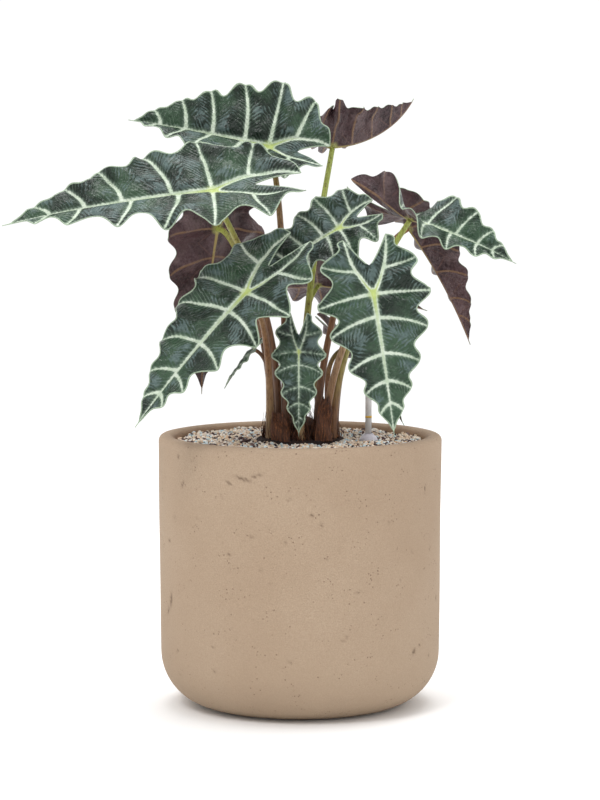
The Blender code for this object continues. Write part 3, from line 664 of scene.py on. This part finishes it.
def add_peat(look):
    """The root ball as a mound, level out to PEAT_LEVEL_RADIUS, then falling by a quarter of an ellipse to
    the granulate, and narrowing below it. Its edge wavers with the bearing by three sines, its top has low
    lumps, and crumbs lie over it."""
    chance = np.random.default_rng(5)
    fall = np.linspace(0, 1, 9)[1:, None] * np.pi / 2
    shoulder = np.concatenate((PEAT_LEVEL_RADIUS + 5 * MM * np.sin(fall),
                               PEAT_TOP - 7 * MM * (1 - np.cos(fall))), axis=1)
    radii = np.linspace(AXIS_GAP, PEAT_LEVEL_RADIUS, 26)[:, None]
    level = np.concatenate((radii, PEAT_TOP + 0 * radii), axis=1)
    depth = np.linspace(0, 1, 10)[:, None]
    top = PEAT_TOP - 8 * MM
    below = np.concatenate((PEAT_RADIUS - 7 * MM * depth, top + (PEAT_BOTTOM - top) * depth), axis=1)
    profile = np.concatenate((level, shoulder, below, [(AXIS_GAP, PEAT_BOTTOM)]))
    points = turned_points(profile, PEAT_SEGMENTS)
    bearing = np.linspace(0, 2 * np.pi, PEAT_SEGMENTS, endpoint=False)[None, :]
    ring, height = profile[:, :1] / PEAT_RADIUS, profile[:, 1:]
    waver = 0.025 * np.sin(5 * bearing + 1) + 0.02 * np.sin(9 * bearing) + 0.015 * np.sin(17 * bearing + 2)
    points[..., :2] *= (1 + waver * ring**3 * (height > 215 * MM))[..., None]
    lumps = 0.35 * MM * np.sin(points[..., 0] * 900) * np.sin(points[..., 1] * 1000)
    points[..., 2] += lumps * (height > 219 * MM)
    piece("peat_mound", points, closed_faces(*points.shape[:2]), (look,), ("root_ball",))
    radius = np.sqrt(chance.uniform(0.05, 1.22, CRUMBS)) * PEAT_RADIUS
    bearing = chance.uniform(0, 2 * np.pi, CRUMBS)
    falling = (0, PEAT_LEVEL_RADIUS, 38.5 * MM, 42 * MM)
    level = np.interp(radius, falling, (PEAT_TOP, PEAT_TOP, 222.6 * MM, 224.2 * MM))
    places = np.stack((radius * np.cos(bearing), radius * np.sin(bearing), level), -1)
    tones = np.array((0.03, 0.014, 0.01)) * chance.uniform(0.4, 2.2, (CRUMBS, 1))
    scatter("peat_crumbs", places, chance.uniform(1.0, 3.2, CRUMBS) * MM, tones,
            grain_look("peat_crumb", 0.95, 0.6), chance, 0.6)


# ---- Crown

HUSKS = (
    dict(name="husk_front_right", bearing=-56, width=17, height=36),
    dict(name="husk_front_left", bearing=-122, width=19, height=24),
    dict(name="husk_back", bearing=100, width=24, height=30),
)
HUSK_RADIUS = 34.5 * MM
HUSK_FLARE = 5 * MM
HUSK_FOOT = 226.6 * MM
HUSK_THICKNESS = 0.5 * MM
RHIZOME_RADIUS = 13 * MM
RHIZOME_TOP = 246 * MM
RHIZOME_BOTTOM = 190 * MM
RHIZOME_DOME = 0.7  # height of its rounded top, as a share of its radius
FIBRES = 420


def add_husks(look):
    """Dry scales: a strip of a cylinder round the crown whose half width is sqrt(1 - 0.85 height^2.5) of its
    widest, flaring with the square of the height, ribbed along and curled in at its torn edges."""
    rows, columns = 44, 28
    for order, husk in enumerate(HUSKS):
        chance = np.random.default_rng(40 + order)
        height = np.linspace(0, 1, rows)[:, None]
        across = np.linspace(-1, 1, columns)[None, :]
        torn = 0.06 * np.sin(across * 19 + order) + 0.05 * np.sin(across * 31 + 2 * order)
        half_width = husk["width"] * MM / 2 * np.sqrt(1 - 0.85 * height**2.5)
        bearing = math.radians(husk["bearing"]) + across * half_width / HUSK_RADIUS
        ribs = 0.18 * MM * np.sin(across * 24 + 2 * np.sin(height * 5 + chance.uniform(0, 6)))
        curl = 1.6 * MM * across**4 * height - 0.7 * MM * np.sin(height * 9 + across * 2)
        radius = HUSK_RADIUS + HUSK_FLARE * height**2 + ribs - curl
        level = HUSK_FOOT + husk["height"] * MM * height * (1 + torn * height**3)
        points = np.stack((radius * np.cos(bearing), radius * np.sin(bearing), level), -1) + CROWN
        faces = grid_faces(rows, columns)[:, ::-1]
        made = piece(husk["name"] + "_papery", points, faces, (look,), (husk["name"],))
        walled(made, HUSK_THICKNESS)


def strands(starts, ends, bow, thickness, rows=9):
    """Thin three-sided fibres: the line from start to end bowed sideways by bow sin(pi share), its
    thickness falling to a fifth at the end."""
    share = np.linspace(0, 1, rows)[None, :, None]
    line = starts[:, None] + (ends - starts)[:, None] * share + bow[:, None] * np.sin(np.pi * share)
    angle = np.arange(3) * 2 * np.pi / 3
    ring = np.stack((np.cos(angle), np.sin(angle), 0 * angle), -1)
    wide = thickness[:, None, None, None] * (1 - 0.8 * share[..., None])
    points = line[:, :, None] + ring * wide
    one = grid_faces(rows, 3, True)[:, ::-1]
    caps = np.array(((0, 2, 1), (3 * rows - 3, 3 * rows - 2, 3 * rows - 1)))
    offset = 3 * rows * np.arange(len(starts))[:, None, None]
    sides = (one[None] + offset).reshape(-1, 4).tolist()
    return points, sides + (caps[None] + offset).reshape(-1, 3).tolist()


def add_crown(bark, fibre):
    """The rhizome, a turned rod under a low elliptic dome with five rings that draw in by 0.8 mm at their
    scars, and the torn brown fibres of old leaf bases round the stalks."""
    down = np.linspace(0, 1, 60)[:, None]
    side = RHIZOME_RADIUS - 0.8 * MM * (1 - np.abs(np.sin(np.pi * 5 * down)))
    rise = RHIZOME_DOME * RHIZOME_RADIUS
    shoulder = RHIZOME_TOP - rise
    wall = np.concatenate((side, shoulder - (shoulder - RHIZOME_BOTTOM) * down), axis=1)
    angle = np.radians(np.linspace(4, 86, 10))[:, None]
    dome = np.concatenate((RHIZOME_RADIUS * np.sin(angle), shoulder + rise * np.cos(angle)), axis=1)
    turned_piece("rhizome_ringed", np.concatenate((dome, wall, [(AXIS_GAP, RHIZOME_BOTTOM)])), 64, bark,
                 ("rhizome",), CROWN)
    chance = np.random.default_rng(8)
    bearing = chance.uniform(0, 2 * np.pi, FIBRES)
    radius = chance.uniform(20, 33.5, FIBRES) * MM
    out = np.stack((np.cos(bearing), np.sin(bearing), 0 * bearing), -1)
    sideways = np.stack((-np.sin(bearing), np.cos(bearing), 0 * bearing), -1)
    starts = CROWN + out * radius[:, None] + (0, 0, 226.5 * MM)
    tall = chance.uniform(8, 30, (FIBRES, 1)) * MM
    lean = sideways * chance.normal(0, 5, (FIBRES, 1)) * MM - out * chance.uniform(-1, 6, (FIBRES, 1)) * MM
    ends = starts + lean + tall * np.array((0, 0, 1))
    bow = out * chance.uniform(0, 2.5, (FIBRES, 1)) * MM
    points, faces = strands(starts, ends, bow, chance.uniform(0.25, 0.7, FIBRES) * MM)
    piece("crown_fibres", points, faces, (fibre,))


# ---- Gauge


def add_gauge(dark, frosted, clear, red, yellow):
    """The dark shaft and flange, the frosted dome of the collar, the clear tube with its mark, and the
    float, whose red rod ends in the tube. Outlines are (radius, height) in mm."""
    pin = 0.3  # next to the axis
    shaft = [(pin, 26), (4.5, 26), (4.5, 224.5), (4.7, 224.7), (8.1, 224.7), (8.4, 224.4), (8.4, 222.5),
             (8.1, 222.3), (7, 222.3), (7, 24.6), (6.4, 24), (pin, 24)]
    collar = [(2.1, 226.5), (3, 226.5), (3, 230.7), (3.2, 231), (3.9, 231), (4.2, 230.8), (4.5, 230.2),
              (5.2, 229.5), (6.3, 228.6), (7.2, 227.4), (7.8, 226.1), (8, 225.4), (7.9, 225), (2.1, 225)]
    top = GAUGE_TUBE_TOP / MM
    bore = [(pin, top - 0.6), (1.2, top - 0.9), (1.9, top - 1.8), (2.1, top - 2.9), (2.1, 226.8)]
    skin = [(2.7, 226.8), (2.7, top - 2.9), (2.5, top - 1.4), (1.6, top - 0.3), (pin, top)]
    rod = [(pin, 233), (0.8, 233), (1.2, 232.6), (1.2, 66.3), (3.8, 66.3), (3.8, 26.3), (pin, 26.3)]

    def solid(name, profile, segments, look, nodes):
        turned_piece(name, np.array(profile) * MM, segments, look, nodes, GAUGE)

    def ring(name, profile, look, slot, nodes=()):
        points = turned_points(np.array(profile) * MM, GAUGE_SEGMENTS, GAUGE)
        faces = grid_faces(len(points) + 1, GAUGE_SEGMENTS, True) % (len(points) * GAUGE_SEGMENTS)
        piece(name, points, faces, (look,), nodes)

    solid("gauge_flange", shaft, GAUGE_SEGMENTS, dark, ("gauge_shaft",))
    ring("gauge_dome", collar, frosted, "clear_plastic", ("gauge_collar",))
    solid("gauge_glass", skin[::-1] + bore[::-1], GAUGE_SEGMENTS, clear, ("gauge_tube",))
    solid("gauge_rod", rod, 24, red, ("gauge_float",))
    ring("gauge_mark", [(2.85, 246), (2.85, 244.4), (2.72, 244.4), (2.72, 246)], yellow, "red_plastic")


# ---- Leaves


def leaf_frame(leaf):
    """The tip's direction, the left side's direction and the upper face's normal at the petiole's top."""
    heading, pitch, roll = (math.radians(leaf[key]) for key in ("heading", "pitch", "roll"))
    level_reach = math.cos(pitch)
    tip = np.array((level_reach * math.cos(heading), level_reach * math.sin(heading), math.sin(pitch)))
    level = np.array((-math.sin(heading), math.cos(heading), 0.0))
    upright = np.cross(tip, level)
    left = math.cos(roll) * level + math.sin(roll) * upright
    return tip, left, np.cross(tip, left)


def petiole_path(leaf, count):
    """Points up a petiole: a Bezier curve that leaves its foot upright and meets the blade's underside
    leaning towards the tip by LEAN."""
    tip, _, normal = leaf_frame(leaf)
    bearing, distance = leaf["foot"]
    bearing = math.radians(bearing)
    lean = math.radians(LEAN)
    arrival = math.cos(lean) * normal + math.sin(lean) * tip
    foot = CROWN + (distance * MM * math.cos(bearing), distance * MM * math.sin(bearing), PETIOLE_FOOT)
    end = np.array(leaf["top"]) * MM - normal * PETIOLE_END
    upright = np.array((0, 0, leaf["rise"] * np.linalg.norm(end - foot)))
    share = np.linspace(0, 1, count)[:, None]
    return ((1 - share) ** 3 * foot + 3 * (1 - share) ** 2 * share * (foot + upright)
            + 3 * (1 - share) * share**2 * (end - arrival * leaf["reach"] * MM) + share**3 * end)


def add_petiole(leaf, look):
    """The stalk: a round section carried along its path. Its radius falls from foot to top with the power
    0.6 of the share of the way, bulges by 12 % at the foot, where it clasps the crown, and has a shallow
    groove down one side. Its colour changes evenly from foot to middle to top."""
    rows, sides = 72, 20
    path = petiole_path(leaf, rows)
    share = np.linspace(0, 1, rows)[:, None]
    tangent = np.gradient(path, axis=0)
    tangent = tangent / np.linalg.norm(tangent, axis=1, keepdims=True)
    across = np.cross((0, 0, 1), path[-1] - path[0])
    across = across / np.linalg.norm(across)
    across = across - tangent * (tangent @ across)[:, None]
    across = across / np.linalg.norm(across, axis=1, keepdims=True)
    up = np.cross(tangent, across)
    angle = np.linspace(0, 2 * np.pi, sides, endpoint=False)[None, :]
    taper = PETIOLE_FOOT_RADIUS + (PETIOLE_TOP_RADIUS - PETIOLE_FOOT_RADIUS) * share**0.6
    radius = leaf.get("slim", 1) * taper * (1 + 0.12 * np.exp(-((share / 0.14) ** 2)))
    groove = 1 - 0.14 * np.exp(-(((angle - np.pi / 2) / 0.45) ** 2)) * (1 - 0.6 * share)
    radius = (radius * groove)[..., None]
    section = np.cos(angle)[..., None] * across[:, None] + np.sin(angle)[..., None] * up[:, None]
    points = path[:, None] + radius * section
    foot, middle, top = np.array(PETIOLE_SKINS[leaf["name"]])
    stops, tones = (0, 0.1, 0.5, 1), np.stack((foot * 0.8, foot, middle, top), axis=1)
    skin = np.stack([np.interp(share[:, 0], stops, tone) for tone in tones], -1)
    piece("stalk_" + leaf["name"], points, closed_faces(rows, sides, True), (look,),
          ("petiole_" + leaf["name"],), colours=dict(skin=np.repeat(skin[:, None], sides, axis=1)))


def station_phase(share, stations):
    """For each place on the midrib, how far it is from one side vein's end (0) to the next one's (1)."""
    after = np.clip(np.searchsorted(stations, share, side="right"), 1, len(stations) - 1)
    start, end = stations[after - 1], stations[after]
    return np.clip((share - start) / (end - start), 0, 1)


def outer_edge(share, back, parting, stations):
    """Half width, as a share of the widest, at each place along the midrib. Ahead of the petiole it is
    1 - (x / 0.96)^1.5; behind, an oval that closes on the back lobe's tip. Between two side veins' ends
    the edge draws in by SCALLOP_DEPTH sin(pi phase)^2.4, and comes to a soft point at each end."""
    ahead = 1 - np.clip(share / 0.96, 0, 1) ** 1.5
    behind = np.clip(-share / back, 0, 1)
    oval = parting + (1 - parting) * (1 - behind**2.2) ** 0.7
    scallop = 1 - SCALLOP_DEPTH * np.sin(np.pi * station_phase(share, stations)) ** 2.4
    return np.where(share < 0, oval, ahead) * scallop


def inner_edge(share, back, parting):
    """Where the blade starts beside the midrib's line: 0, until the slit between the back lobes opens."""
    opened = np.clip((-share - SINUS) / (back - SINUS), 0, 1)
    return parting * opened**0.8


def arc(distance, bend):
    """The end of a circular arc of this length that turns by bend radians to the metre: forward
    sin(angle) / bend and sideways (1 - cos(angle)) / bend, in the form that holds for a straight one."""
    angle = distance * bend
    return distance * np.sinc(angle / np.pi), distance * angle / 2 * np.sinc(angle / 2 / np.pi) ** 2


def bent_blade(leaf, along, across, phase, lift):
    """Points in space of flat blade points. The midrib is an arc that droops by its own angle over the
    blade's length, each half a second arc that rises by fold and turns by cup, and lift is added to its
    height. The edge waves once from each side vein's end to the next, with the square of the distance from
    the midrib, and twist turns the blade about the midrib by its angle times tanh(3 along / length)."""
    tip, left, normal = leaf_frame(leaf)
    length, width = leaf["midrib"] * MM, leaf["width"] * MM
    droop = np.where(along > 0, leaf["droop"], leaf.get("lobe_droop", LOBE_DROOP * leaf["droop"]))
    forward, sag = arc(along, np.radians(droop) / length)
    angle = along * np.radians(droop) / length
    out, rise = arc(np.abs(across), -math.radians(leaf["cup"]) / width)
    fold = math.radians(leaf["fold"])
    sideways = np.sign(across) * (out * math.cos(fold) - rise * math.sin(fold))
    raised = out * math.sin(fold) + rise * math.cos(fold) + lift
    reach = np.clip(np.abs(across) / width, 0, 1)
    wave = EDGE_WAVE * width * min(width / (FULL_WIDTH * MM), 1)
    raised = raised - wave * reach**2 * np.cos(2 * np.pi * phase)
    twist = math.radians(leaf.get("twist", 0)) * np.tanh(3 * along / length)
    sideways, raised = (sideways * np.cos(twist) - raised * np.sin(twist),
                        sideways * np.sin(twist) + raised * np.cos(twist))
    forward = forward + raised * np.sin(angle)
    height = -sag + raised * np.cos(angle)
    top = np.array(leaf["top"]) * MM
    return top + forward[..., None] * tip + sideways[..., None] * left + height[..., None] * normal


def curve(start, pull, end, widths):
    """A vein as (points, half widths): a quadratic Bezier from start to end, tapering evenly."""
    share = np.linspace(0, 1, VEIN_POINTS)[:, None]
    start, pull, end = np.array(start), np.array(pull), np.array(end)
    line = (1 - share) ** 2 * start + 2 * share * (1 - share) * pull + share**2 * end
    return line, np.linspace(*widths, VEIN_POINTS)


def stoutness(leaf):
    """How thick a leaf's veins are and how high its lamina stands, against those of one of full width: its
    share of that width, but not below 0.42 or above 1.12."""
    return min(max(leaf["width"] / FULL_WIDTH, 0.42), 1.12)


def half_veins(leaf, stations, back, parting):
    """The veins of one half on the flat pattern, in mm: the midrib, the rib of the back lobe, its branch to
    the lobe's outer corner, and a side vein to each lobe of the edge. The first two are main ribs."""
    length, width, stout = leaf["midrib"], leaf["width"], stoutness(leaf)

    def edge(at):
        return float(outer_edge(np.array(at), back, parting, stations)) * width

    lobe_tip = (-0.98 * back * length, parting * width)
    fork = (-0.42 * back * length, 0.26 * width)
    corner = (stations[1] * length, edge(stations[1]))
    veins = [
        curve((-0.02 * length, 0), (0.4 * length, 0), (length, 0), (3.3 * stout, 0.7 * stout)),
        curve((0, 0), (-0.45 * back * length, 0.34 * width), lobe_tip, (2.6 * stout, 1.2 * stout)),
        curve(fork, (fork[0] * 1.1, 0.6 * width), corner, (1.9 * stout, 1.1 * stout)),
    ]
    for station in stations[2:-1]:
        origin = max(1.07 * station - 0.12, 0)
        pull = (origin + 0.15 * (station - origin), 0.55 * edge(station))
        veins.append(curve((origin * length, 0), (pull[0] * length, pull[1]),
                           (station * length, edge(station)), (2.1 * stout, 1.15 * stout)))
    return veins


def to_line(points, line, widths):
    """For each point its distance to a polyline, the line's half width at its nearest place, and how far
    along the line that place is."""
    start, step = line[:-1], np.diff(line, axis=0)
    size = np.linalg.norm(step, axis=1)
    offset = points[:, None] - start
    share = np.clip((offset * step).sum(-1) / size**2, 0, 1)
    away = np.linalg.norm(offset - share[..., None] * step, axis=-1)
    nearest = away.argmin(axis=1)[:, None]
    half = widths[:-1] + share * np.diff(widths)
    run = np.cumsum(size) - size + share * size
    return tuple(np.take_along_axis(values, nearest, 1)[:, 0] for values in (away, half, run))


def midrib_places(leaf):
    """Where along the midrib the blade has its rows, as shares of its length: closer and closer towards the
    back lobes' tips, by a cosine, and evenly from the slit to the tail."""
    length, cell = leaf["midrib"], BLADE_CELL / MM
    back = leaf["lobes"] / length
    behind = np.linspace(0, math.pi / 2, int((back - SINUS) * length / cell) + 6)
    return np.concatenate((
        -back + (back - SINUS) * (1 - np.cos(behind[:-1])),
        np.linspace(-SINUS, 0, int(SINUS * length / cell) + 2)[:-1],
        np.linspace(0, LAST_ROW, int(length / cell) + 2),
    ))


def blade_lift(leaf, along, across, gap, chance):
    """Height of the lamina in mm: FURROW_DEPTH (1 - exp(-(gap / FURROW_REACH)^2)) of the distance to the
    nearest vein, so the veins lie in furrows, less a fine groove along each, and long sine swells in random
    directions that grow towards the edge."""
    stout = stoutness(leaf)
    reach = np.clip(across / leaf["width"], 0, 1)
    furrowed = 1 - np.exp(-((gap / FURROW_REACH) ** 2))
    lift = stout * FURROW_DEPTH * furrowed - 0.4 * np.exp(-((gap / 1.4) ** 2))
    for _ in range(SWELLS):
        turn = chance.uniform(0, np.pi)
        wave = 2 * np.pi / chance.uniform(18, 40)
        swell = np.sin(wave * (along * math.cos(turn) + across * math.sin(turn)) + chance.uniform(0, 6.28))
        lift = lift + SWELL_HEIGHT * stout * reach * swell
    return lift


def blade_half(leaf, share, joined, columns, sign, chance):
    """One half of a blade, a row of points from the midrib or the slit out to the edge for every place along
    it: the points, their place on the flat pattern and what the two faces read there. In mm, these are how
    far inside the nearest vein's band and the main ribs' a point is (vein, rib), its distance to the nearest
    vein and the margin (gap, edge), how much further the second vein is (minor), and the way along the
    nearest one less 0.8 gap (run). Glow is exp(-(d / 16 mm)^1.5) of the distance d from the petiole."""
    length, width, stout = leaf["midrib"], leaf["width"], stoutness(leaf)
    back, parting = leaf["lobes"] / length, leaf.get("parting", PARTING)
    stations = np.array((-back, -CORNER * back, *LOBE_STATIONS))
    stations[1:-1] += chance.uniform(-0.02, 0.02, len(stations) - 2)
    tail = np.where(share > 0, TAIL_HALF_WIDTH * length * np.sqrt(1 - share), 0)
    outer = (outer_edge(share, back, parting, stations) * width + tail)[:, None]
    inner = (inner_edge(share, back, parting) * width)[:, None]
    outer = np.maximum(outer, inner + LEAST_WIDTH)
    across = inner + np.linspace(0, 1, columns) * (outer - inner)
    along = np.repeat(share[:, None] * length, columns, axis=1)
    flat = np.stack((along, across), -1).reshape(-1, 2)
    veins = half_veins(leaf, stations, back, parting)
    gaps, halves, runs = np.array([to_line(flat, line, widths) for line, widths in veins]).swapaxes(0, 1)
    bands = halves - gaps
    gap, second = np.sort(gaps, axis=0)[:2]
    run = np.take_along_axis(runs, gaps.argmin(axis=0)[None], 0)[0]
    rim = np.concatenate((np.stack((along[~joined, 0], inner[~joined, 0]), -1)[::-1],
                          np.stack((along[:, -1], across[:, -1]), -1)))
    lift = blade_lift(leaf, along, across, gap.reshape(across.shape), chance)
    phase = station_phase(share, stations)[:, None] + 0 * across
    points = bent_blade(leaf, along * MM, sign * across * MM, phase, lift * MM)
    pattern = np.stack((along / FLAT_WIDTH + 0.4, sign * across / FLAT_WIDTH + 0.5), -1).reshape(-1, 2)
    return points, pattern, dict(
        vein=np.max(bands, axis=0), rib=np.maximum(bands[0], bands[1]) - 1.25 * stout, gap=gap,
        edge=to_line(flat, rim, np.zeros(len(rim)))[0], minor=second - gap, run=run - 0.8 * gap,
        glow=np.exp(-(np.hypot(flat[:, 0], flat[:, 1]) / (16 * stout)) ** 1.5))


def add_blade(leaf, order, upper, under):
    """The blade: its two halves, joined along the midrib from the slit to the tail."""
    chance = np.random.default_rng(100 + order)
    share = midrib_places(leaf)
    joined = share > -SINUS - 1e-9
    rows, columns = len(share), int(leaf["width"] / (BLADE_CELL / MM)) + 4
    halves = [blade_half(leaf, share, joined, columns, sign, chance) for sign in (1, -1)]
    points, flats, readings = zip(*halves)
    number = np.arange(2 * rows * columns).reshape(2, rows, columns)
    number[1, joined, 0] = number[0, joined, 0]
    faces = grid_faces(rows, columns)
    faces = np.concatenate((number[0].ravel()[faces], number[1].ravel()[faces][:, ::-1]))
    used, faces = np.unique(faces, return_inverse=True)
    stored = {key: np.concatenate([half[key] for half in readings])[used] for key in readings[0]}
    stored["pallor"] = np.full(len(used), VEIN_STRENGTH.get(leaf["name"], 1.0))
    made = piece("blade_" + leaf["name"], np.stack(points).reshape(-1, 3)[used], faces.reshape(-1, 4),
                 (upper, under), ("leaf_" + leaf["name"],), stored,
                 flat=np.concatenate(flats)[used])
    walled(made, BLADE_THICKNESS, 1)


# ---- Floor, light and camera

FLOOR_RADIUS = 2.6
FLOOR_SEGMENTS = 96
LAMP_AIM = (0, 0, 0.3)
LAMPS = (  # name, place, size and power
    ("key", (-1.1, -1.9, 2.5), 0.9, 29),
    ("fill", (1.8, -1.6, 1.4), 1.2, 5),
    ("top", (0.2, 0.5, 2.6), 1.8, 34),
)


def add_studio():
    """A plain pale floor, soft light from all round, a little dimmer from the front, three lamps above, and
    the camera."""
    scene = bpy.context.scene
    look, tree, where = new_look("pale_floor", 0.9, Specular_IOR_Level=0.0)
    tree.links.new(blend(tree, noise(tree, where, 2), (0.95, 0.95, 0.95), (0.97, 0.97, 0.97)),
                   tree.nodes["Principled BSDF"].inputs["Base Color"])
    angle = np.linspace(0, 2 * np.pi, FLOOR_SEGMENTS, endpoint=False)
    disc = np.stack((FLOOR_RADIUS * np.cos(angle), FLOOR_RADIUS * np.sin(angle), 0 * angle - 0.2 * MM), -1)
    mesh = bpy.data.meshes.new("floor")
    mesh.from_pydata(disc, [], [list(range(FLOOR_SEGMENTS))])
    mesh.materials.append(look)
    floor = bpy.data.objects.new("floor", mesh)
    scene.collection.objects.link(floor)
    world = bpy.data.worlds.new("studio")
    world.use_nodes = True
    tree = world.node_tree
    ahead = put(tree, "SeparateXYZ", {0: put(tree, "TexCoord").outputs["Generated"]})
    wide = fade(tree, ahead.outputs["Y"], -0.6, 0.3, 0.84, 1.04)
    tree.links.new(wide, tree.nodes["Background"].inputs["Strength"])
    tree.nodes["Background"].inputs["Color"].default_value = (1, 1, 1, 1)
    scene.world = world
    for name, place, size, power in LAMPS:
        light = bpy.data.lights.new(name, "AREA")
        light.size = size
        light.energy = power
        lamp = bpy.data.objects.new(name, light)
        scene.collection.objects.link(lamp)
        lamp.location = place
        aim = np.array(LAMP_AIM) - place
        lamp.rotation_euler = (math.atan2(np.hypot(aim[0], aim[1]), -aim[2]), 0, math.atan2(-aim[0], aim[1]))
    scene.view_settings.view_transform = "Standard"
    camera = bpy.data.objects.new("camera", bpy.data.cameras.new("camera"))
    camera.data.lens = 133.3
    camera.data.sensor_width = 36
    camera.location = (0, -2.5, 0.494)
    camera.rotation_euler = (math.radians(90 - 5.37), 0, 0)
    scene.collection.objects.link(camera)
    scene.camera = camera


def main():
    """Every look and piece, from the floor to the leaves."""
    add_studio()
    add_planter(stone_look())
    add_granulate(bed_look())
    add_peat(peat_look())
    bark = fibre_look("rhizome_bark", (0.03, 0.013, 0.008), (0.11, 0.05, 0.026), (0.24, 0.12, 0.06))
    fibre = fibre_look("husk_fibre", (0.045, 0.016, 0.008), (0.2, 0.07, 0.025), (0.5, 0.21, 0.07))
    add_crown(bark, fibre)
    add_husks(fibre)
    add_gauge(
        plastic_look("dark_plastic", (0.02, 0.017, 0.02), (0.045, 0.04, 0.046), 0.4),
        plastic_look("frosted_plastic", (0.62, 0.6, 0.66), (0.76, 0.74, 0.8), 0.35,
                     Transmission_Weight=0.15),
        plastic_look("clear_plastic", (0.85, 0.84, 0.83), (0.93, 0.92, 0.91), 0.2, Transmission_Weight=0.3,
                     IOR=1.2),
        plastic_look("red_plastic", (0.4, 0.01, 0.008), (0.55, 0.02, 0.012), 0.35),
        plastic_look("yellow_plastic", (0.72, 0.42, 0.02), (0.85, 0.52, 0.04), 0.4),
    )
    upper, under, skin = leaf_upper_look(), leaf_under_look(), petiole_look()
    for order, leaf in enumerate(LEAVES):
        add_petiole(leaf, skin)
        add_blade(leaf, order, upper, under)


main()
